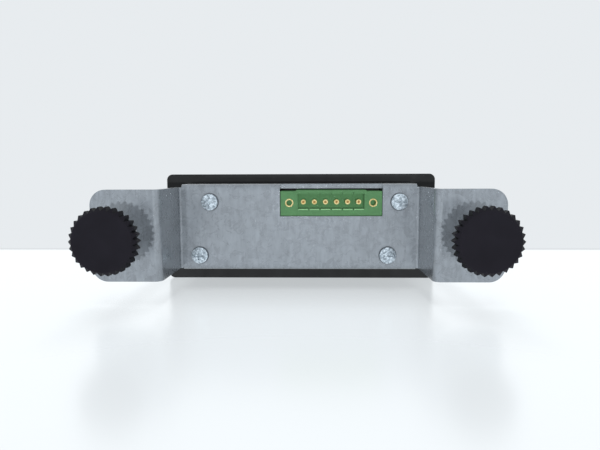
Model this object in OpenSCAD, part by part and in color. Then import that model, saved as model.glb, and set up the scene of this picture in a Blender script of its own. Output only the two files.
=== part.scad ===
// Panel-mounted battery monitor, built as separate parts.
// Frame: the origin is the centre of the bezel's rear face, which seats on the panel.
// +X runs along the bezel, -Y points behind the panel, +Z is up. Millimetres.

/* [Bezel] */
// Width of the front bezel
bezel_w = 102.4; // [96:0.2:112]
// Height of the front bezel
bezel_h = 40.2; // [40:0.1:46]
// Thickness of the front bezel
bezel_t = 3; // [2.8:0.1:4]
// Corner radius of the bezel
bezel_corner_r = 2.2; // [1:0.1:4]

/* [Case] */
// Height of the case centre above the bezel centre
case_z = 1.9; // [1.5:0.1:2.2]
// Distance from the bezel's rear face to the outside of the bracket plate
case_depth = 21; // [20:0.5:24]
// Wall of the plastic skirt
skirt_wall = 1; // [1:0.1:1.4]

/* [Bracket] */
// Thickness of the sheet steel
sheet_t = 1.5; // [1.2:0.1:1.6]
// Inside radius of the arm bends
bend_r = 0.75; // [0.5:0.05:1.2]
// Half of the clear width between the two arms
arm_gap_half = 41.1; // [41:0.1:44]
// Height of the plate over its two flanges
plate_h = 29.6; // [29:0.1:32]
// Height of the arms and ears
arm_h = 28; // [25:0.1:28]
// Height of the arms' centre above the bezel centre
arm_z = 1.7; // [1.4:0.1:2.2]
// Length of an arm behind the plate
arm_len = 22.5; // [18:0.5:24]
// Distance from the centre to an ear's outer edge
ear_reach = 62.25; // [60:0.25:70]
// Corner radius of the ears
ear_corner_r = 4.8; // [2:0.2:8]
// Depth of the top and bottom flanges
flange_depth = 12; // [8:0.5:14]
// Inside radius of the flange bends
flange_bend_r = 0.4; // [0.2:0.1:0.8]

/* [Clamp screws] */
// Distance from the centre to a clamp screw's axis
clamp_x = 50.7; // [50:0.1:54]
// Height of the clamp screws above the bezel centre
clamp_z = 2.5; // [1:0.1:4]
// Thickness of panel gripped at rest
grip = 6; // [5:0.5:8]
// Diameter of the stud
stud_d = 4; // [3:0.5:4]
// Diameter of the knob over its teeth
knob_d = 18.7; // [16:0.1:20]
// Number of teeth round the knob
knob_teeth = 30; // [24:1:40]
// Depth of a tooth
tooth_depth = 1.1; // [0.5:0.05:1.2]
// Distance from the bezel's rear face to the outside of the knob
knob_reach = 63.2; // [62:0.2:68]

/* [Connector] */
// Number of pins
pin_count = 6; // [2:1:6]
// Distance between pins
pin_pitch = 3.81; // [3.5:0.01:3.81]
// Position of the connector along the case
header_x = 11.1; // [8:0.1:12]

/* [Display] */
// Width of the display window
window_w = 57; // [40:1:60]
// Height of the display window
window_h = 16.5; // [12:0.5:17]
// Height of the display above the bezel centre
display_z = 6.6; // [6:0.1:7]
// Height of the row of keys
key_z = -5.4; // [-6:0.1:-5]
// Distance between keys
key_pitch = 14; // [12:0.5:14]
// Travel of a key
key_travel = 0.5; // [0.3:0.1:0.5]

/* [Hidden] */

$fn = 64;
LEFT = -1;
RIGHT = 1;
cut = 0.1;
touch_gap = 0.05;

// Depths along Y, all negative behind the panel seat
plate_y = -case_depth;
plate_front_y = plate_y + sheet_t;
ear_y = plate_y - arm_len;
foot_y = -grip;
board_y = -10;
board_t = 1.6;
board_rear_y = board_y - board_t;

// Skirt that carries the board, inside the bracket's flanges
skirt_w = 81.4;
skirt_side_gap = 0.1;
skirt_end_gap = 0.2;
skirt_h = plate_h - 2 * sheet_t - 2 * skirt_side_gap;
skirt_corner_r = 1.5;
skirt_end_y = plate_front_y + skirt_end_gap;

// Bracket plate and its bends
arm_bend_out = bend_r + sheet_t;
flange_bend_out = flange_bend_r + sheet_t;
plate_half_w = arm_gap_half - bend_r;
flange_bend_z = plate_h / 2 - flange_bend_out;

// Screws through the plate: two pairs, each slanted across the case
screw_inner_x = 30.5;
screw_outer_x = 34.3;
screw_top_z = case_z + 8.75;
screw_low_z = case_z - 9.65;
SCREWS = [
    [-screw_inner_x, screw_top_z], [screw_outer_x, screw_top_z],
    [-screw_outer_x, screw_low_z], [screw_inner_x, screw_low_z]
];
screw_r = 1.45;
screw_hole_r = 1.5;
screw_clear_r = 1.6;
screw_head_r = 2.8;
screw_edge_h = 1;
screw_head_h = 2;
screw_len = 6;
cross_w = 0.75;
cross_len = 3.2;
cross_depth = 1.2;

// Standoffs and the posts they screw into
post_r = 3;
post_bore_end_y = -4.4;
standoff_af = 5;
standoff_thread_end_y = -5;
standoff_thread_r = 1.2;
standoff_thread_hole_r = 1.25;

// Connector on the back of the board
cell_row_w = pin_count * pin_pitch;
header_side_wall = 0.6;
header_end_w = 5.3;
header_core_w = cell_row_w + 2 * header_side_wall;
header_w = header_core_w + 2 * header_end_w;
header_low_z = case_z + 4;
header_h = 8.7;
header_flange_h = 8.35;
header_mouth_y = plate_y + 0.3;
cavity_low_z = header_low_z + 2.3;
cavity_h = 5.2;
cavity_depth = 6.5;
cell_groove = 0.4;
pin_z = cavity_low_z + 2.35;
pin_r = 0.85;
pin_cup_r = 0.42;
pin_cup_depth = 1.5;
pin_recess = 1;
pin_tail_y = board_y + 1;
pin_tail_r = 0.5;
insert_spacing = cell_row_w + 5.84;
insert_z = header_low_z + 4.4;
insert_r = 1.4;
insert_bore_r = 1;
insert_len = 5;
header_slot_side = 0.2;

// Display stack behind the bezel wall
window_t = 1.6;
window_corner_r = 1.1;
window_side_gap = 0.1;
aperture_w = 50;
aperture_h = 11;
aperture_corner_r = 0.8;
glass_w = 53;
glass_h = 13.4;
glass_t = 2.4;
backlight_t = 2.6;
layer_gap = 0.1;
glass_rear_y = -layer_gap - glass_t;
backlight_rear_y = glass_rear_y - layer_gap - backlight_t;
display_pin_count = 16;
display_pin_pitch = 3.2;
display_pin_r = 0.25;
display_pin_top_y = -0.6;
display_pin_tail = 0.8;
display_pin_z = display_z - glass_h / 2 - display_pin_r - touch_gap;

// Keys and their switches
KEY_SLOTS = [1.5, 0.5, -0.5, -1.5];
key_w = 10;
key_h = 5;
key_corner_r = 1;
key_proud = 0.8;
key_gap = 0.3;
key_flange = 0.8;
key_flange_t = 0.8;
key_flange_y = -0.4;
key_stem_r = 1.7;
switch_w = 6;
switch_body_h = 4.4;
switch_plunger_r = 1.7;
switch_plunger_y = -4.95;
key_stem_end_y = switch_plunger_y + key_travel + 2 * touch_gap;

// Board outline and the chips on its back: x, z, width, height, thickness
board_side_gap = 1;
board_end_gap = 0.2;
board_corner_r = 1;
MICROCONTROLLER_CHIP = [-14, case_z + 4.5, 10, 10, 1.4];
REGULATOR_CHIP = [19, case_z - 6, 6.5, 6.1, 2.3];
AMPLIFIER_CHIPS = [
    [-25, case_z - 5, 5, 4, 1.5],
    [2, case_z - 5, 5, 4, 1.5]
];
capacitor_x = [9.5, 27];
capacitor_z = case_z - 4.5;
capacitor_r = 2;
capacitor_h = 5.8;

// Clamp screws, their nuts and feet
stud_r = stud_d / 2;
running_gap = 0.05;
nut_shank_r = 2.68;
nut_hole_r = 2.7;
nut_flange_r = 4;
nut_flange_t = 2.3;
foot_r = 5.5;
foot_t = 2;
foot_cup_r = 3.4;
foot_cup_len = 4;
foot_floor = 2.3;
knob_chamfer = 1.3;
knob_rim_t = 2.6;
knob_back_chamfer = 0.4;
knob_face_len = 1.2;
knob_hub_r = 5.5;
knob_hub_neck_r = 4.4;
knob_hub_end_y = -knob_reach + 10.5;
knob_hub_rise = 1.5;
stud_tail_y = -knob_reach + 3;
stud_tip_y = foot_y - foot_floor - running_gap;
tooth_flat = 0.4;

// A flat outline in X and Z, given thickness from y0 to y1
module slab(y0, y1) {
    translate([0, y1, 0])
        rotate([90, 0, 0])
            linear_extrude(height = y1 - y0)
                children();
}

// A round bar along Y
module rod(x, z, y0, y1, r) {
    translate([x, y1, z])
        rotate([90, 0, 0])
            cylinder(r = r, h = y1 - y0);
}

// A rectangle with round corners, centred at x, z
module round_rect(x, z, w, h, r) {
    translate([x, z]) {
        square([w - 2 * r, h], center = true);
        square([w, h - 2 * r], center = true);
        for (sx = [-1, 1], sz = [-1, 1])
            translate([sx * (w / 2 - r), sz * (h / 2 - r)])
                circle(r = r);
    }
}

// A quarter ring in the quadrant that sx and sy point to
module bend(r_in, r_out, sx, sy) {
    intersection() {
        difference() {
            circle(r = r_out);
            circle(r = r_in);
        }
        translate([min(0, sx * r_out), min(0, sy * r_out)])
            square(r_out);
    }
}

module at_screws() {
    for (spot = SCREWS)
        translate([spot[0], 0, spot[1]])
            children();
}

// ---- Front moulding ----

module bezel_openings() {
    slab(bezel_t - window_t, bezel_t + cut)
        round_rect(0, display_z, window_w + 2 * window_side_gap, window_h + 2 * window_side_gap,
            window_corner_r + window_side_gap);
    slab(-cut, bezel_t)
        round_rect(0, display_z, aperture_w, aperture_h, aperture_corner_r);
    for (slot = KEY_SLOTS)
        slab(-cut, bezel_t + cut)
            round_rect(slot * key_pitch, key_z, key_w + 2 * key_gap, key_h + 2 * key_gap,
                key_corner_r + key_gap);
}

module skirt() {
    difference() {
        slab(skirt_end_y, 0)
            round_rect(0, case_z, skirt_w, skirt_h, skirt_corner_r);
        slab(skirt_end_y - cut, 0)
            round_rect(0, case_z, skirt_w - 2 * skirt_wall, skirt_h - 2 * skirt_wall,
                skirt_corner_r - skirt_wall);
        // Slot in the top wall for the connector
        slot_w = header_w + 2 * header_slot_side;
        translate([header_x - slot_w / 2, skirt_end_y - cut, case_z + skirt_h / 2 - 2 * skirt_wall])
            cube([slot_w, board_y - skirt_end_y, 3 * skirt_wall]);
    }
}

module front_bezel() color([0.16, 0.16, 0.17]) {
    difference() {
        union() {
            slab(0, bezel_t)
                round_rect(0, 0, bezel_w, bezel_h, bezel_corner_r);
            skirt();
            at_screws()
                rod(0, 0, board_y + touch_gap, 0, post_r);
        }
        bezel_openings();
        at_screws()
            rod(0, 0, board_y - cut, post_bore_end_y, standoff_thread_hole_r);
    }
}

// ---- Display ----

module display_window() color([0.1, 0.12, 0.14, 0.6]) {
    slab(bezel_t - window_t + touch_gap, bezel_t - touch_gap)
        round_rect(0, display_z, window_w, window_h, window_corner_r);
}

module display_glass() color([0.55, 0.62, 0.52]) {
    slab(glass_rear_y, -layer_gap)
        translate([0, display_z])
            square([glass_w, glass_h], center = true);
}

module display_backlight() color("white") {
    slab(backlight_rear_y, glass_rear_y - layer_gap)
        translate([0, display_z])
            square([glass_w, glass_h], center = true);
}

// The display pins' places, in a row along the lower edge of the display
module at_display_pins() {
    first = -(display_pin_count - 1) / 2 * display_pin_pitch;
    for (i = [0 : display_pin_count - 1])
        translate([first + i * display_pin_pitch, 0, display_pin_z])
            children();
}

module display_pins() color("silver") {
    at_display_pins()
        rod(0, 0, board_rear_y - display_pin_tail, display_pin_top_y, display_pin_r);
}

// ---- Circuit board ----

module circuit_board() color("darkgreen") {
    board_w = skirt_w - 2 * (skirt_wall + board_side_gap);
    board_h = skirt_h - 2 * (skirt_wall + board_end_gap);
    difference() {
        slab(board_rear_y, board_y)
            round_rect(0, case_z, board_w, board_h, board_corner_r);
        at_screws()
            rod(0, 0, board_rear_y - cut, board_y + cut, standoff_thread_hole_r + touch_gap);
        at_display_pins()
            rod(0, 0, board_rear_y - cut, board_y + cut, display_pin_r + touch_gap);
        at_pins()
            rod(0, 0, board_rear_y - cut, board_y + cut, pin_tail_r + touch_gap);
    }
}

// A chip that lies on the back of the board: x, z, width, height, thickness
module chip(c) {
    translate([c[0] - c[2] / 2, board_rear_y - touch_gap - c[4], c[1] - c[3] / 2])
        cube([c[2], c[4], c[3]]);
}

module microcontroller() color([0.12, 0.12, 0.12]) {
    chip(MICROCONTROLLER_CHIP);
}

module sense_amplifiers() color([0.12, 0.12, 0.12]) {
    for (c = AMPLIFIER_CHIPS)
        chip(c);
}

module voltage_regulator() color([0.12, 0.12, 0.12]) {
    chip(REGULATOR_CHIP);
}

module capacitors() color("silver") {
    foot_plane_y = board_rear_y - touch_gap;
    for (x = capacitor_x)
        rod(x, capacitor_z, foot_plane_y - capacitor_h, foot_plane_y, capacitor_r);
}

module key_switches() color([0.2, 0.2, 0.2]) {
    for (slot = KEY_SLOTS) {
        translate([slot * key_pitch - switch_w / 2, board_y + touch_gap, key_z - switch_w / 2])
            cube([switch_w, switch_body_h, switch_w]);
        rod(slot * key_pitch, key_z, board_y + switch_body_h, switch_plunger_y, switch_plunger_r);
    }
}

// ---- Connector ----

// The pins' places, in a row about the connector's centre
module at_pins() {
    first = header_x - (pin_count - 1) / 2 * pin_pitch;
    for (i = [0 : pin_count - 1])
        translate([first + i * pin_pitch, 0, pin_z])
            children();
}

module at_inserts() {
    for (side = [LEFT, RIGHT])
        translate([header_x + side * insert_spacing / 2, 0, insert_z])
            children();
}

module header_housing() color([0.31, 0.58, 0.36]) {
    cavity_floor_y = header_mouth_y + cavity_depth;
    difference() {
        union() {
            translate([header_x - header_w / 2, header_mouth_y, header_low_z])
                cube([header_w, board_rear_y - header_mouth_y - touch_gap, header_flange_h]);
            translate([header_x - header_core_w / 2, header_mouth_y, header_low_z])
                cube([header_core_w, board_rear_y - header_mouth_y - touch_gap, header_h]);
        }
        translate([header_x - cell_row_w / 2, header_mouth_y - cut, cavity_low_z])
            cube([cell_row_w, cavity_depth + cut, cavity_h]);
        // Grooves between the cells, in the walls and floor of the cavity
        for (i = [1 : pin_count - 1])
            translate([header_x - cell_row_w / 2 + i * pin_pitch - cell_groove / 2,
                    header_mouth_y - cut, cavity_low_z - cell_groove])
                cube([cell_groove, cavity_depth + cut + cell_groove, cavity_h + 2 * cell_groove]);
        at_pins()
            rod(0, 0, cavity_floor_y - cut, board_rear_y, pin_r + touch_gap);
        at_inserts()
            rod(0, 0, header_mouth_y - cut, header_mouth_y + insert_len, insert_r + touch_gap);
    }
}

module header_pins() color("gold") {
    tip_y = header_mouth_y + pin_recess;
    at_pins()
        difference() {
            union() {
                rod(0, 0, tip_y, board_rear_y - touch_gap, pin_r);
                rod(0, 0, board_rear_y - 2 * touch_gap, pin_tail_y, pin_tail_r);
            }
            rod(0, 0, tip_y - cut, tip_y + pin_cup_depth, pin_cup_r);
        }
}

module header_inserts() color("gold") {
    at_inserts()
        difference() {
            rod(0, 0, header_mouth_y, header_mouth_y + insert_len - touch_gap, insert_r);
            rod(0, 0, header_mouth_y - cut, header_mouth_y + insert_len, insert_bore_r);
        }
}

// ---- Fasteners of the case ----

module board_standoffs() color("silver") {
    corner_r = standoff_af / 2 / cos(30);
    at_screws()
        difference() {
            union() {
                translate([0, board_rear_y - touch_gap, 0])
                    rotate([90, 0, 0])
                        cylinder(r = corner_r, h = board_rear_y - plate_front_y - 2 * touch_gap,
                            $fn = 6);
                rod(0, 0, board_rear_y - 2 * touch_gap, standoff_thread_end_y, standoff_thread_r);
            }
            rod(0, 0, plate_front_y - cut, plate_front_y + screw_len, screw_hole_r);
        }
}

module bracket_screws() color("silver") {
    dome_rise = screw_head_h - screw_edge_h;
    dome_r = (screw_head_r * screw_head_r + dome_rise * dome_rise) / (2 * dome_rise);
    seat_y = plate_y - touch_gap;
    at_screws() {
        difference() {
            intersection() {
                rod(0, 0, seat_y - screw_head_h, seat_y, screw_head_r);
                translate([0, seat_y - screw_head_h + dome_r, 0])
                    sphere(r = dome_r);
            }
            for (turn = [0, 90])
                rotate([0, turn, 0])
                    translate([-cross_len / 2, seat_y - screw_head_h - cut, -cross_w / 2])
                        cube([cross_len, cross_depth + cut, cross_w]);
        }
        rod(0, 0, seat_y - touch_gap, plate_y + screw_len, screw_r);
    }
}

// ---- Sheet steel bracket ----

// The plate's top and bottom edges, bent towards the bezel
module plate_flange(side) {
    translate([-plate_half_w, 0, case_z])
        rotate([90, 0, 90])
            linear_extrude(height = 2 * plate_half_w) {
                translate([plate_y + flange_bend_out, side * flange_bend_z])
                    bend(flange_bend_r, flange_bend_out, -1, side);
                flange_low = side > 0 ? plate_h / 2 - sheet_t : -plate_h / 2;
                translate([plate_y + flange_bend_out, flange_low])
                    square([flange_depth - flange_bend_out, sheet_t]);
            }
}

// One arm: a bend out of the plate, the arm itself and a bend into the ear
module arm() {
    inner_bend = [plate_half_w, plate_y - bend_r];
    outer_bend = [arm_gap_half + arm_bend_out, ear_y + arm_bend_out];
    translate([0, 0, arm_z - arm_h / 2])
        linear_extrude(height = arm_h) {
            translate(inner_bend)
                bend(bend_r, arm_bend_out, 1, 1);
            translate(outer_bend)
                bend(bend_r, arm_bend_out, -1, -1);
            translate([arm_gap_half, outer_bend[1]])
                square([sheet_t, inner_bend[1] - outer_bend[1]]);
        }
}

module ear() {
    ear_start = arm_gap_half + arm_bend_out;
    low = arm_z - arm_h / 2;
    slab(ear_y, ear_y + sheet_t) {
        translate([ear_start, low])
            square([ear_reach - ear_corner_r - ear_start, arm_h]);
        translate([ear_reach - ear_corner_r - cut, low + ear_corner_r])
            square([ear_corner_r + cut, arm_h - 2 * ear_corner_r]);
        for (z = [low + ear_corner_r, low + arm_h - ear_corner_r])
            translate([ear_reach - ear_corner_r, z])
                circle(r = ear_corner_r);
    }
}

module rear_bracket() color([0.62, 0.65, 0.68]) {
    notch_w = header_w + 2 * header_slot_side;
    notch_low = header_low_z - header_slot_side;
    difference() {
        union() {
            slab(plate_y, plate_front_y)
                translate([-plate_half_w, case_z - flange_bend_z])
                    square([2 * plate_half_w, 2 * flange_bend_z]);
            for (side = [-1, 1])
                plate_flange(side);
            for (side = [LEFT, RIGHT])
                mirror([side == LEFT ? 1 : 0, 0, 0]) {
                    arm();
                    ear();
                }
        }
        // Notch round the connector, open through the top bend
        translate([header_x - notch_w / 2, plate_y - cut, notch_low])
            cube([notch_w, flange_bend_out + cut, case_z + plate_h / 2 + cut - notch_low]);
        at_screws()
            rod(0, 0, plate_y - cut, plate_front_y + cut, screw_clear_r);
        for (side = [LEFT, RIGHT])
            rod(side * clamp_x, clamp_z, ear_y - cut, ear_y + sheet_t + cut, nut_hole_r);
    }
}

// ---- Clamp screws ----

module clinch_nuts() color("silver") {
    for (side = [LEFT, RIGHT])
        difference() {
            union() {
                rod(side * clamp_x, clamp_z, ear_y, ear_y + sheet_t + 2 * touch_gap, nut_shank_r);
                rod(side * clamp_x, clamp_z, ear_y + sheet_t + touch_gap,
                    ear_y + sheet_t + touch_gap + nut_flange_t, nut_flange_r);
            }
            rod(side * clamp_x, clamp_z, ear_y - cut, ear_y + sheet_t + nut_flange_t + 1,
                stud_r + running_gap);
        }
}

// A swivel foot that presses on the back of the panel
module foot(side) color([0.15, 0.15, 0.15]) {
    x = side * clamp_x;
    difference() {
        union() {
            rod(x, clamp_z, foot_y - foot_t, foot_y, foot_r);
            rod(x, clamp_z, foot_y - foot_t - foot_cup_len, foot_y - foot_t + cut, foot_cup_r);
        }
        rod(x, clamp_z, foot_y - foot_t - foot_cup_len - cut, foot_y - foot_floor,
            stud_r + running_gap);
    }
}

module stud(side) color("silver") {
    rod(side * clamp_x, clamp_z, stud_tail_y, stud_tip_y, stud_r);
}

// The toothed outline of a knob, about its own axis
module knob_outline() {
    tip_r = knob_d / 2;
    root_r = tip_r - tooth_depth;
    step = 360 / knob_teeth;
    corners = [[tip_r, -tooth_flat], [tip_r, tooth_flat], [root_r, step / 2]];
    polygon([for (i = [0 : knob_teeth - 1], p = corners)
        [p[0] * cos(i * step + p[1]), p[0] * sin(i * step + p[1])]]);
}

// The turned envelope of a knob, from its outer face inwards
module knob_envelope() {
    tip_r = knob_d / 2 + touch_gap;
    rim_end = knob_face_len + knob_rim_t;
    rotate_extrude()
        polygon([
            [0, 0], [tip_r - knob_chamfer, 0], [tip_r, knob_face_len],
            [tip_r, rim_end - knob_back_chamfer], [tip_r - knob_back_chamfer, rim_end], [0, rim_end]
        ]);
}

module knob(side) color([0.13, 0.13, 0.15]) {
    x = side * clamp_x;
    rim_y = -knob_reach + knob_face_len + knob_rim_t;
    difference() {
        union() {
            translate([x, -knob_reach, clamp_z])
                rotate([-90, 0, 0])
                    intersection() {
                        linear_extrude(height = knob_face_len + knob_rim_t)
                            knob_outline();
                        knob_envelope();
                    }
            rod(x, clamp_z, rim_y - cut, rim_y + knob_hub_rise, knob_hub_r);
            rod(x, clamp_z, rim_y, knob_hub_end_y, knob_hub_neck_r);
        }
        rod(x, clamp_z, stud_tail_y - 2 * touch_gap, knob_hub_end_y + cut, stud_r + touch_gap);
    }
}

// ---- Keys ----

module key(slot) color([0.2, 0.2, 0.22]) {
    x = slot * key_pitch;
    slab(key_flange_y, bezel_t + key_proud)
        round_rect(x, key_z, key_w, key_h, key_corner_r);
    slab(key_flange_y - key_flange_t, key_flange_y)
        round_rect(x, key_z, key_w + 2 * key_flange, key_h + 2 * key_flange, key_corner_r);
    rod(x, key_z, key_stem_end_y, key_flange_y - key_flange_t + cut, key_stem_r);
}

front_bezel();
display_window();
display_glass();
display_backlight();
display_pins();
circuit_board();
microcontroller();
sense_amplifiers();
voltage_regulator();
capacitors();
key_switches();
header_housing();
header_pins();
header_inserts();
board_standoffs();
rear_bracket();
bracket_screws();
clinch_nuts();
foot(LEFT);  // left_foot
stud(LEFT);  // left_stud
knob(LEFT);  // left_knob
foot(RIGHT);  // right_foot
stud(RIGHT);  // right_stud
knob(RIGHT);  // right_knob
key(KEY_SLOTS[0]);  // menu_key
key(KEY_SLOTS[1]);  // down_key
key(KEY_SLOTS[2]);  // up_key
key(KEY_SLOTS[3]);  // enter_key
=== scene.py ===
"""Looks of a panel-mounted battery monitor seen from behind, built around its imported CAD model."""
import math

import bpy
from mathutils import Matrix, Vector


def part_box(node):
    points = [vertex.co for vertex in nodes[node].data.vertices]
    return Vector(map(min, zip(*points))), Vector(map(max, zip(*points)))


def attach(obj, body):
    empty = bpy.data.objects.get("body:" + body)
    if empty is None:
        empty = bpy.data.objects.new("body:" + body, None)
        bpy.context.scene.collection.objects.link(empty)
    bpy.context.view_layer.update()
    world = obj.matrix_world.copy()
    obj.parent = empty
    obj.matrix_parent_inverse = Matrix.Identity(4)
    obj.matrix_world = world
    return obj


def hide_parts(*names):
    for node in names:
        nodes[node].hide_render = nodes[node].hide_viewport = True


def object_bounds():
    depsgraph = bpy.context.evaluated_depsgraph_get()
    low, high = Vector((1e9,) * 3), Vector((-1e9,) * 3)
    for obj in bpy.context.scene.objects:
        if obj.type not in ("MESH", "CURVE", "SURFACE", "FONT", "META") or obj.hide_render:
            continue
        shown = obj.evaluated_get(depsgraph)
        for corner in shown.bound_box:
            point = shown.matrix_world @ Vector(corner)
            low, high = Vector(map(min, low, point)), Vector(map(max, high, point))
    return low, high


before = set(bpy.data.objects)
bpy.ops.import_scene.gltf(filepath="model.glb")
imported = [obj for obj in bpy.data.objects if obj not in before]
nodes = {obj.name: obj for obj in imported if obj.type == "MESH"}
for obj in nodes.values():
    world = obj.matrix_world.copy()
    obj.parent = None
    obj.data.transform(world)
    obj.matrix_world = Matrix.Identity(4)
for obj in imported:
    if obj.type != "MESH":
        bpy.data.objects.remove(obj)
cad_low, cad_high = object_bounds()
MM = 0.001
X, Y, Z = 0, 1, 2
CHASSIS = "chassis"
CLAMP_SIDES = ("left", "right")
KEYS = ("menu_key", "down_key", "up_key", "enter_key")


def centre(node, axis):
    """Middle of a CAD node's box along an axis, in mm."""
    low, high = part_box(node)
    return (low[axis] + high[axis]) / 2 / MM


def low_end(node, axis):
    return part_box(node)[0][axis] / MM


def high_end(node, axis):
    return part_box(node)[1][axis] / MM


# ---------------------------------------------------------------- material tools

# Indices of the Mix node's colour sockets, which share their names with its other sockets
MIX_FACTOR, MIX_FIRST, MIX_SECOND, MIX_RESULT = 0, 6, 7, 2


def scaled(colour, factor):
    return tuple(channel * factor for channel in colour)


class Shade:
    """One procedural material: a Principled shader and the textures that feed it."""

    def __init__(self, name, colour, roughness, metallic=0.0, **extra):
        self.material = bpy.data.materials.new(name)
        self.material.use_nodes = True
        self.tree = self.material.node_tree
        self.shader = self.tree.nodes["Principled BSDF"]
        self.shader.inputs["Base Color"].default_value = (*colour, 1)
        self.shader.inputs["Roughness"].default_value = roughness
        self.shader.inputs["Metallic"].default_value = metallic
        for socket, value in extra.items():
            self.shader.inputs[socket.replace("_", " ")].default_value = value
        self.coords = self.tree.nodes.new("ShaderNodeTexCoord").outputs["Object"]

    def node(self, kind, **settings):
        made = self.tree.nodes.new(kind)
        for key, value in settings.items():
            setattr(made, key, value)
        return made

    def link(self, source, target):
        self.tree.links.new(source, target)

    def stretched(self, scale, turn=(0, 0, 0)):
        """Object coordinates turned and scaled, so that a texture stretches along an axis."""
        mapping = self.node("ShaderNodeMapping")
        mapping.inputs["Scale"].default_value = scale
        mapping.inputs["Rotation"].default_value = turn
        self.link(self.coords, mapping.inputs["Vector"])
        return mapping.outputs["Vector"]

    def noise(self, scale, detail=3.0, roughness=0.5, distortion=0.0, vector=None):
        made = self.node("ShaderNodeTexNoise")
        made.inputs["Scale"].default_value = scale
        made.inputs["Detail"].default_value = detail
        made.inputs["Roughness"].default_value = roughness
        made.inputs["Distortion"].default_value = distortion
        self.link(vector or self.coords, made.inputs["Vector"])
        return made.outputs["Fac"]

    def ramp(self, source, stops):
        """stops are (position, grey) or (position, (r, g, b))."""
        made = self.node("ShaderNodeValToRGB")
        elements = made.color_ramp.elements
        while len(elements) < len(stops):
            elements.new(0.5)
        for element, (position, value) in zip(elements, stops):
            rgb = (value, value, value) if isinstance(value, (int, float)) else value
            element.position = position
            element.color = (*rgb, 1)
        self.link(source, made.inputs["Fac"])
        return made.outputs["Color"]

    def times(self, first, second):
        """The product of two colours, each a colour or a socket."""
        made = self.node("ShaderNodeMix", data_type="RGBA", blend_type="MULTIPLY")
        made.inputs[MIX_FACTOR].default_value = 1.0
        for index, value in ((MIX_FIRST, first), (MIX_SECOND, second)):
            if isinstance(value, tuple):
                made.inputs[index].default_value = (*value, 1)
            else:
                self.link(value, made.inputs[index])
        return made.outputs[MIX_RESULT]

    def span(self, source, low, high):
        """A texture value of 0 to 1 mapped to low to high."""
        made = self.node("ShaderNodeMapRange")
        made.inputs["To Min"].default_value = low
        made.inputs["To Max"].default_value = high
        self.link(source, made.inputs["Value"])
        return made.outputs["Result"]

    def paint(self, colour):
        self.link(colour, self.shader.inputs["Base Color"])

    def paint_between(self, source, low, high):
        """Base colour from low to high as a texture goes from 0.3 to 0.7."""
        self.paint(self.ramp(source, [(0.3, low), (0.7, high)]))

    def glow(self, colour):
        self.shader.inputs["Emission Color"].default_value = (*colour, 1)

    def rough(self, source, low, high):
        self.link(self.span(source, low, high), self.shader.inputs["Roughness"])

    def bump(self, *layers):
        """layers are (height source, depth in metres)."""
        below = None
        for source, depth in layers:
            made = self.node("ShaderNodeBump")
            made.inputs["Distance"].default_value = depth
            self.link(source, made.inputs["Height"])
            if below:
                self.link(below, made.inputs["Normal"])
            below = made.outputs["Normal"]
        self.link(below, self.shader.inputs["Normal"])


# ---------------------------------------------------------------- materials

def galvanised_steel():
    """Zinc-coated sheet: faint clouds, short upright streaks and a fine grain."""
    base = (0.138, 0.156, 0.176)
    s = Shade("galvanised_steel", base, 0.26, 0.3, Coat_Weight=0.7, Coat_Roughness=0.2)
    cloud = s.noise(330, 5, 0.66, 0.8)
    streak = s.noise(260, 4, 0.65, 0.3, s.stretched((3.2, 3.2, 0.8)))
    scratch = s.noise(900, 3, 0.6, 0.0, s.stretched((3.0, 3.0, 0.25)))
    grain = s.noise(2600, 2, 0.6)
    tone = s.times(s.ramp(cloud, [(0.32, 0.86), (0.68, 1.14)]),
                   s.ramp(streak, [(0.32, 0.88), (0.68, 1.12)]))
    tone = s.times(tone, s.ramp(scratch, [(0.35, 0.94), (0.65, 1.06)]))
    s.paint(s.times(tone, base))
    s.rough(cloud, 0.20, 0.36)
    s.bump((streak, 0.016 * MM), (grain, 0.003 * MM))
    return s.material


def zinc_screw():
    """Bright zinc plating, speckled with tool marks and dirt."""
    s = Shade("zinc_screws", (0.34, 0.41, 0.47), 0.25, 0.6)
    speck = s.noise(1300, 3, 0.7, 0.4)
    fine = s.noise(3400, 2, 0.6)
    dark, mid, pale = (0.12, 0.145, 0.17), (0.32, 0.38, 0.43), (0.60, 0.68, 0.75)
    s.paint(s.ramp(speck, [(0.34, dark), (0.50, mid), (0.62, pale)]))
    s.rough(fine, 0.20, 0.40)
    s.bump((speck, 0.06 * MM), (fine, 0.02 * MM))
    return s.material


def plated_steel():
    s = Shade("plated_steel", (0.45, 0.47, 0.49), 0.32, 0.9)
    marks = s.noise(900, 3, 0.6)
    s.paint_between(marks, (0.36, 0.38, 0.40), (0.54, 0.56, 0.58))
    s.rough(marks, 0.26, 0.42)
    return s.material


def moulded_black(name, colour, roughness, grain_depth, sheen=0.2):
    """Moulded plastic with a fine eroded texture."""
    s = Shade(name, colour, roughness, Specular_IOR_Level=sheen)
    grain = s.noise(3200, 2, 0.6)
    cloud = s.noise(180, 3, 0.5)
    s.paint_between(cloud, scaled(colour, 0.88), scaled(colour, 1.14))
    s.rough(grain, roughness - 0.06, roughness + 0.08)
    s.bump((grain, grain_depth))
    return s.material


def header_green(name, colour, glow):
    """Bright green moulding: a little light passes into its thin walls, and a painted glow lifts the
    shade in its cells.
    """
    s = Shade(name, colour, 0.45, Subsurface_Weight=0.2, Subsurface_Scale=0.001,
              Specular_IOR_Level=0.25, Emission_Strength=glow)
    s.shader.inputs["Subsurface Radius"].default_value = (0.6, 1.0, 0.6)
    s.glow(colour)
    cloud = s.noise(500, 3, 0.6)
    s.paint_between(cloud, scaled(colour, 0.9), scaled(colour, 1.1))
    s.rough(cloud, 0.38, 0.55)
    s.bump((cloud, 0.02 * MM))
    return s.material


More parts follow.
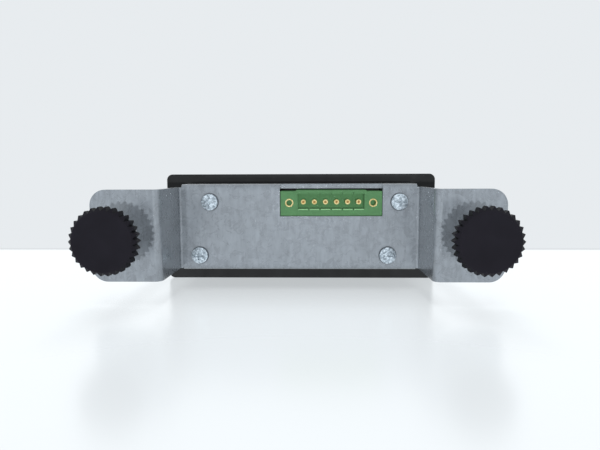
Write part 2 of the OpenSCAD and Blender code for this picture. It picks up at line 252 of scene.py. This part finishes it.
def brass():
    s = Shade("brass", (0.62, 0.50, 0.22), 0.3, 0.85)
    marks = s.noise(1800, 2, 0.5)
    s.paint_between(marks, (0.50, 0.38, 0.14), (0.76, 0.64, 0.34))
    s.rough(marks, 0.22, 0.4)
    return s.material


def circuit_green():
    """Solder mask with faint tracks under it."""
    s = Shade("circuit_board", (0.02, 0.10, 0.035), 0.35)
    tracks = s.node("ShaderNodeTexBrick")
    tracks.inputs["Scale"].default_value = 260
    tracks.inputs["Mortar Size"].default_value = 0.12
    tracks.inputs["Color1"].default_value = (0.012, 0.075, 0.024, 1)
    tracks.inputs["Color2"].default_value = (0.016, 0.090, 0.030, 1)
    tracks.inputs["Mortar"].default_value = (0.030, 0.150, 0.055, 1)
    s.link(s.stretched((1, 1, 1), (math.pi / 2, 0, 0)), tracks.inputs["Vector"])
    s.paint(tracks.outputs["Color"])
    s.bump((tracks.outputs["Fac"], 0.02 * MM))
    return s.material


def chip_black():
    s = Shade("chip_black", (0.02, 0.02, 0.022), 0.6)
    grain = s.noise(2600, 2, 0.5)
    s.paint_between(grain, 0.016, 0.028)
    s.bump((grain, 0.01 * MM))
    return s.material


def can_aluminium():
    s = Shade("capacitor_can", (0.6, 0.61, 0.63), 0.3, 0.9)
    marks = s.noise(400, 3, 0.5, 0.0, s.stretched((6, 1, 6)))
    s.paint_between(marks, 0.5, 0.66)
    return s.material


def white_plastic():
    s = Shade("white_plastic", (0.75, 0.75, 0.73), 0.5)
    cloud = s.noise(200, 2, 0.5)
    s.paint_between(cloud, 0.70, 0.78)
    return s.material


def window_glass():
    """Smoked, polished window over the display."""
    s = Shade("display_window", (0.012, 0.014, 0.016), 0.08, Alpha=0.42)
    haze = s.noise(90, 2, 0.5)
    s.rough(haze, 0.07, 0.12)
    return s.material


def liquid_crystal():
    """Backlit display: pale grey green, a little brighter in clouds."""
    colour = (0.38, 0.47, 0.34)
    s = Shade("display_glass", colour, 0.3, Emission_Strength=0.35)
    s.glow(colour)
    cloud = s.noise(60, 2, 0.5)
    s.paint_between(cloud, scaled(colour, 0.93), scaled(colour, 1.05))
    return s.material


def display_ink():
    s = Shade("display_ink", (0.03, 0.045, 0.03), 0.4)
    cloud = s.noise(900, 2, 0.5)
    s.paint_between(cloud, (0.025, 0.04, 0.025), (0.04, 0.055, 0.04))
    return s.material


def flat_speckle(name, colour):
    """A dull surface with a slight speckle."""
    s = Shade(name, colour, 0.6)
    cloud = s.noise(1200, 2, 0.5)
    s.paint_between(cloud, scaled(colour, 0.8), scaled(colour, 1.2))
    return s.material


def key_print():
    s = Shade("key_print", (0.62, 0.64, 0.65), 0.5)
    cloud = s.noise(1200, 2, 0.5)
    s.paint_between(cloud, 0.55, 0.68)
    return s.material


STEEL = galvanised_steel()
SCREW = zinc_screw()
PLATED = plated_steel()
CASE_BLACK = moulded_black("black_moulding", (0.0125, 0.0130, 0.0135), 0.55, 0.02 * MM)
KNOB_BLACK = moulded_black("knob_black", (0.0050, 0.0046, 0.0068), 0.5, 0.012 * MM, 0.1)
FOOT_BLACK = moulded_black("foot_nylon", (0.012, 0.012, 0.013), 0.5, 0.01 * MM)
KEY_BLACK = moulded_black("key_rubber", (0.022, 0.023, 0.026), 0.62, 0.01 * MM)
# The header's green glows: painted light that lifts the shade in its cells
GLOWING_GREEN = header_green("header_green", (0.029, 0.074, 0.031), 1.0)
# Painted highlight: a paler, glowing green for the lower lips of the header's cells
HIGHLIGHT_GREEN = header_green("header_lip_highlight", (0.10, 0.20, 0.10), 0.6)
BRASS = brass()
BOARD = circuit_green()
CHIP = chip_black()
CAN = can_aluminium()
WHITE = white_plastic()
WINDOW = window_glass()
CRYSTAL = liquid_crystal()
INK = display_ink()
PRINT = key_print()
# Painted shadow for the dark rings round the screw heads
PAINTED_SCREW_SHADOW = flat_speckle("screw_painted_shadow", (0.035, 0.040, 0.047))
# Painted shade for the hollow cup at each contact's tip
PAINTED_CUP_SHADE = flat_speckle("contact_cup_painted_shade", (0.16, 0.085, 0.02))


# ---------------------------------------------------------------- CAD nodes that stay

SHARP_ANGLE = math.radians(35)


def dress(name, material, bevel_mm):
    """Gives a CAD node its material and rounds its sharp edges."""
    obj = nodes[name]
    obj.data.materials.clear()
    obj.data.materials.append(material)
    if bevel_mm:
        modifier = obj.modifiers.new("edge_round", "BEVEL")
        modifier.width = bevel_mm * MM
        modifier.segments = 2
        modifier.limit_method = "ANGLE"
        modifier.angle_limit = SHARP_ANGLE
        modifier.harden_normals = True


# Each node's material, and the width of its rounded edges in mm
LOOKS = {
    "front_bezel": (CASE_BLACK, 0.18),
    "display_window": (WINDOW, 0),
    "display_glass": (CRYSTAL, 0),
    "display_backlight": (WHITE, 0),
    "display_pins": (PLATED, 0),
    "circuit_board": (BOARD, 0),
    "microcontroller": (CHIP, 0.15),
    "sense_amplifiers": (CHIP, 0.12),
    "voltage_regulator": (CHIP, 0.15),
    "capacitors": (CAN, 0.3),
    "key_switches": (CHIP, 0.1),
    "header_housing": (GLOWING_GREEN, 0.12),
    "header_pins": (BRASS, 0.12),
    "header_inserts": (BRASS, 0.1),
    "board_standoffs": (PLATED, 0.1),
    "rear_bracket": (STEEL, 0.12),
    "bracket_screws": (SCREW, 0.1),
    "clinch_nuts": (PLATED, 0.15),
}
for side in CLAMP_SIDES:
    LOOKS[side + "_foot"] = (FOOT_BLACK, 0.25)
    LOOKS[side + "_stud"] = (PLATED, 0.1)
    LOOKS[side + "_knob"] = (KNOB_BLACK, 0)
for key in KEYS:
    LOOKS[key] = (KEY_BLACK, 0.25)
for name, (material, bevel_mm) in LOOKS.items():
    dress(name, material, bevel_mm)


# ---------------------------------------------------------------- pieces added to the CAD model

def add_mesh(name, verts, faces, material, body, slot):
    mesh = bpy.data.meshes.new(name)
    mesh.from_pydata([Vector(v) * MM for v in verts], [], faces)
    mesh.materials.append(material)
    mesh.update()
    obj = bpy.data.objects.new(name, mesh)
    bpy.context.scene.collection.objects.link(obj)
    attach(obj, body)
    return obj


def prism(outline, y_low, y_high, x=0.0, z=0.0):
    """Vertices and faces of a flat outline, a list of (x, z), given thickness along Y."""
    n = len(outline)
    verts = [(x + px, y_low, z + pz) for px, pz in outline]
    verts += [(x + px, y_high, z + pz) for px, pz in outline]
    faces = [tuple(range(n)), tuple(reversed(range(n, 2 * n)))]
    faces += [(i, i + n, (i + 1) % n + n, (i + 1) % n) for i in range(n)]
    return verts, faces


def joined(shapes):
    """Several (vertices, faces) made one."""
    verts, faces = [], []
    for some_verts, some_faces in shapes:
        base = len(verts)
        verts += some_verts
        faces += [tuple(i + base for i in face) for face in some_faces]
    return verts, faces


def box_outline(w, h):
    return [(-w / 2, -h / 2), (w / 2, -h / 2), (w / 2, h / 2), (-w / 2, h / 2)]


def disc_outline(r, count=32):
    return [(r * math.cos(2 * math.pi * i / count), r * math.sin(2 * math.pi * i / count))
            for i in range(count)]


def ring(r_in, r_out, y_low, y_high, x, z, count=40):
    """A flat washer about the Y axis."""
    verts, faces = [], []
    for i in range(count):
        a = 2 * math.pi * i / count
        for r, y in ((r_in, y_low), (r_out, y_low), (r_out, y_high), (r_in, y_high)):
            verts.append((x + r * math.cos(a), y, z + r * math.sin(a)))
    for i in range(count):
        j = (i + 1) % count
        for k in range(4):
            m = (k + 1) % 4
            faces.append((4 * i + k, 4 * i + m, 4 * j + m, 4 * j + k))
    return verts, faces


# Threaded studs: M4, with a chamfered tip at the foot and a plain tail in the knob
THREAD_PITCH = 0.7
THREAD_DEPTH = 0.38
THREAD_FLANK = 2.4
THREAD_START, THREAD_END = 6.8, 1.05
TIP_CHAMFER_R, TIP_CHAMFER_LENGTH = 0.35, 0.4
SIDES_ROUND, RINGS_PER_TURN = 24, 6


def thread_radius(y, turn, stud_r):
    """Radius at a height and a share of a turn: the crest climbs one pitch for each turn."""
    phase = (y / THREAD_PITCH - turn) % 1.0
    rise = min(1.0, THREAD_FLANK * min(phase, 1 - phase))
    return stud_r - THREAD_DEPTH * (1 - rise)


def stud_rings(side):
    """(y, radius for a share of a turn) of each ring from the tail to the tip."""
    node = side + "_stud"
    stud_r = (high_end(node, X) - low_end(node, X)) / 2
    tail_y, tip_y = low_end(node, Y), high_end(node, Y)
    start_y, end_y = tail_y + THREAD_START, tip_y - THREAD_END
    core_r = stud_r - THREAD_DEPTH

    def plain(y, r):
        return y, lambda turn: r

    def threaded(y):
        return y, lambda turn: thread_radius(y, turn, stud_r)

    step = THREAD_PITCH / RINGS_PER_TURN
    count = int((end_y - start_y) / step)
    rings = [plain(tail_y, core_r), plain(start_y, core_r)]
    rings += [threaded(start_y + i * step) for i in range(1, count)]
    rings += [plain(end_y, core_r), plain(tip_y - TIP_CHAMFER_LENGTH, core_r)]
    rings.append(plain(tip_y, core_r - TIP_CHAMFER_R))
    return rings


def threaded_stud(side):
    """A right-handed thread between two plain ends, swept ring by ring."""
    node = side + "_stud"
    axis_x, axis_z = centre(node, X), centre(node, Z)
    rings = stud_rings(side)
    verts = []
    for y, radius in rings:
        for i in range(SIDES_ROUND):
            turn = i / SIDES_ROUND
            r, angle = radius(turn), 2 * math.pi * turn
            verts.append((axis_x + r * math.sin(angle), y, axis_z + r * math.cos(angle)))
    tail = tuple(range(SIDES_ROUND))
    tip = tuple(reversed(range(len(verts) - SIDES_ROUND, len(verts))))
    faces = [tail, tip]
    for ring_start in range(0, len(verts) - SIDES_ROUND, SIDES_ROUND):
        for i in range(SIDES_ROUND):
            j = (i + 1) % SIDES_ROUND
            a, b = ring_start, ring_start + SIDES_ROUND
            faces.append((a + i, b + i, b + j, a + j))
    stud = add_mesh(side + "_threaded_stud", verts, faces, PLATED, side + "_clamp_screw", "plated_steel")
    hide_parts(node)
    for polygon in stud.data.polygons:
        polygon.use_smooth = True


for side in CLAMP_SIDES:
    threaded_stud(side)

# Painted shadow: a thin dark ring round each screw head stands in for the shade at its edge
SCREW_SPOTS = [(-30.5, 10.65), (34.3, 10.65), (-34.3, -7.75), (30.5, -7.75)]
SCREW_HEAD_R, SHADOW_RING_R = 2.7, 3.08
PLATE_Y = -21.0
add_mesh("screw_shadow_lines",
         *joined([ring(SCREW_HEAD_R, SHADOW_RING_R, PLATE_Y - 0.04, PLATE_Y + 0.01, x, z)
                  for x, z in SCREW_SPOTS]),
         PAINTED_SCREW_SHADOW, CHASSIS, "galvanised_steel")

# Contacts: painted shade on dark discs in the pins' cups, and a painted highlight along the lower lip of
# each of the header's cells
PIN_COUNT, PIN_PITCH = 6, 3.81
HEADER_X, HEADER_MOUTH_Y = centre("header_housing", X), low_end("header_housing", Y)
PIN_TIP_Y, PIN_Z = low_end("header_pins", Y), centre("header_pins", Z)
CUP_R, CUP_FLOOR_T, CUP_DEPTH = 0.42, 0.18, 0.3
CELL_X = [HEADER_X + (i - (PIN_COUNT - 1) / 2) * PIN_PITCH for i in range(PIN_COUNT)]
LIP_W, LIP_H, LIP_T, LIP_PROUD, LIP_Z = 3.3, 0.3, 0.33, 0.03, 8.03
cup_y = PIN_TIP_Y + CUP_DEPTH
lip_y = HEADER_MOUTH_Y - LIP_PROUD
add_mesh("contact_cup_shade_discs",
         *joined([prism(disc_outline(CUP_R), cup_y - CUP_FLOOR_T, cup_y, x, PIN_Z) for x in CELL_X]),
         PAINTED_CUP_SHADE, CHASSIS, "brass")
# Painted highlight strips along the lower lip of each cell
add_mesh("cell_lip_highlights",
         *joined([prism(box_outline(LIP_W, LIP_H), lip_y, lip_y + LIP_T, x, LIP_Z) for x in CELL_X]),
         HIGHLIGHT_GREEN, CHASSIS, "header_green")

# The liquid crystal's marks: a bar gauge, its frame and a row of blocks
LCD_Z, LCD_Y = centre("display_glass", Z), high_end("display_glass", Y)
MARK_T = 0.06
GAUGE_BARS, BAR_PITCH, BAR_W, BAR_H = 10, 4.0, 3.2, 4.6
GAUGE_Z = LCD_Z + 1.6
FRAME_LINE, FRAME_W, FRAME_H, FRAME_SIDE_X = 0.35, 43.0, 6.4, 21.4
TERMINAL_X, TERMINAL_W, TERMINAL_H = 22.2, 1.0, 2.6
BLOCKS, BLOCK_PITCH, BLOCK_W, BLOCK_H, BLOCK_Z = 5, 8.8, 6.4, 1.3, LCD_Z - 3.6


def evenly(count, pitch):
    """count places about 0, pitch apart."""
    return [(i - (count - 1) / 2) * pitch for i in range(count)]


def lcd_marks():
    """Every mark as (outline, x, z), given the marks' thickness."""
    marks = [(box_outline(BAR_W, BAR_H), x, GAUGE_Z) for x in evenly(GAUGE_BARS, BAR_PITCH)]
    marks += [(box_outline(FRAME_W, FRAME_LINE), 0, GAUGE_Z + z) for z in (-FRAME_H / 2, FRAME_H / 2)]
    marks += [(box_outline(FRAME_LINE, FRAME_H), x, GAUGE_Z) for x in (-FRAME_SIDE_X, FRAME_SIDE_X)]
    marks.append((box_outline(TERMINAL_W, TERMINAL_H), TERMINAL_X, GAUGE_Z))
    marks += [(box_outline(BLOCK_W, BLOCK_H), x, BLOCK_Z) for x in evenly(BLOCKS, BLOCK_PITCH)]
    return joined([prism(outline, LCD_Y, LCD_Y + MARK_T, x, z) for outline, x, z in marks])


add_mesh("display_marks", *lcd_marks(), INK, CHASSIS, "display_glass")

# Printed symbols on the keys
PRINT_T, PRINT_SINK = 0.03, 0.01
UP = [(-1.2, -0.8), (1.2, -0.8), (0, 1.0)]
DOWN = [(-1.2, 0.8), (0, -1.0), (1.2, 0.8)]
SYMBOLS = {
    "menu_key": [(box_outline(3.0, 0.35), dz) for dz in (-0.8, 0, 0.8)],
    "down_key": [(DOWN, 0)],
    "up_key": [(UP, 0)],
    "enter_key": [(disc_outline(0.95), 0)],
}
for key in KEYS:
    key_x, key_z, face_y = centre(key, X), centre(key, Z), high_end(key, Y)
    add_mesh(key + "_symbol",
             *joined([prism(outline, face_y - PRINT_SINK, face_y + PRINT_T, key_x, key_z + dz)
                      for outline, dz in SYMBOLS[key]]),
             PRINT, key, "key_rubber")


# ---------------------------------------------------------------- stage, light and camera

FLOOR_REACH, FLOOR_BACK_Y = 3.0, 72 * MM
FLOOR_GAP, FLOOR_EDGE_H = 0.02 * MM, 0.8 * MM


def sheet(name, corners, shade):
    """A flat piece of the stage. Lamps shine through it, so that a low lamp still reaches the object."""
    mesh = bpy.data.meshes.new(name)
    mesh.from_pydata(corners, [], [(0, 1, 2, 3)])
    mesh.materials.append(shade.material)
    obj = bpy.data.objects.new(name, mesh)
    obj.visible_shadow = False
    bpy.context.scene.collection.objects.link(obj)
    return obj


def stage():
    """A pale sheet that ends behind the object, so that the background starts above it."""
    floor_z = cad_low.z - FLOOR_GAP
    edge_z = floor_z + FLOOR_EDGE_H
    left, right, front, back = -FLOOR_REACH, FLOOR_REACH, -FLOOR_REACH, FLOOR_BACK_Y

    gloss = Shade("floor", (0.120, 0.126, 0.130), 0.24, IOR=2.4, Emission_Strength=0.55)
    gloss.glow((0.90, 0.945, 0.97))
    floor = sheet("floor", [(left, front, floor_z), (right, front, floor_z),
                            (right, back, floor_z), (left, back, floor_z)], gloss)

    # Painted shade: a thin strip at the floor's back edge glows a little dimmer than the background, for
    # the shade where floor and background meet
    junction_shade = Shade("floor_edge_painted_shade", (0.02, 0.02, 0.02), 0.6, Emission_Strength=0.72)
    junction_shade.glow((0.93, 0.97, 1.0))
    sheet("floor_edge_painted_shade", [(left, back, floor_z), (right, back, floor_z),
                         (right, back, edge_z), (left, back, edge_z)], junction_shade)
    return floor


def lamp(name, data):
    obj = bpy.data.objects.new(name, data)
    obj.visible_glossy = False
    bpy.context.scene.collection.objects.link(obj)
    return obj


def sun(name, travel, strength, angle):
    data = bpy.data.lights.new(name, "SUN")
    data.energy = strength
    data.angle = math.radians(angle)
    obj = lamp(name, data)
    obj.rotation_mode = "QUATERNION"
    obj.rotation_quaternion = Vector(travel).to_track_quat("-Z", "Y")
    return obj


def collection_of(name, obj):
    made = bpy.data.collections.new(name)
    made.objects.link(obj)
    return made


def world_light():
    world = bpy.data.worlds.new("studio")
    bpy.context.scene.world = world
    world.use_nodes = True
    background = world.node_tree.nodes["Background"]
    background.inputs["Color"].default_value = (0.805, 0.838, 0.863, 1)
    background.inputs["Strength"].default_value = 1.0


def key_light():
    """Stands behind the camera, so that each knob's sharp shadow lies outwards on its ear."""
    key = bpy.data.lights.new("key", "POINT")
    key.energy = 10.2
    key.shadow_soft_size = 0.002
    lamp("key", key).location = (0.0, -0.56, -0.001)


def side_light():
    """A lower light that only the bracket shades: one arm darkens a strip of the plate."""
    side_sun = sun("side_sun", (0.116, 1.0, 0.12), 1.6, 1.5)
    side_sun.light_linking.blocker_collection = collection_of("shades_side_sun", nodes["rear_bracket"])


def top_light(floor):
    """A broad lamp overhead that lights the floor alone, so that the object's shadows lie on it."""
    top = bpy.data.lights.new("top", "AREA")
    top.energy = 7.0
    top.shape = "RECTANGLE"
    top.size, top.size_y = 0.16, 0.80
    obj = lamp("top", top)
    obj.location = (0, -0.06, 0.5)
    obj.light_linking.receiver_collection = collection_of("lit_by_top", floor)


def lights(floor):
    world_light()
    key_light()
    side_light()
    sun("fill_sun", (0.0, 1.0, -0.1), 0.8, 110)
    sun("bezel_sun", (-0.35, -1.0, 0.02), 2.0, 20)
    top_light(floor)


def camera():
    data = bpy.data.cameras.new("camera")
    data.lens = 30.0
    data.sensor_width = 36.0
    data.clip_start = 0.01
    cam = bpy.data.objects.new("camera", data)
    pitch, yaw, roll = math.radians(-5.89), math.radians(1.46), math.radians(-0.2)
    turn = (Matrix.Rotation(yaw, 4, "Z") @ Matrix.Rotation(math.pi / 2 + pitch, 4, "X")
            @ Matrix.Rotation(roll, 4, "Z"))
    cam.matrix_world = Matrix.Translation(Vector((4.79, -191.84, 20.34)) * MM) @ turn
    bpy.context.scene.collection.objects.link(cam)
    bpy.context.scene.camera = cam


lights(stage())
camera()
bpy.context.scene.view_settings.view_transform = "Standard"
bpy.context.view_layer.update()
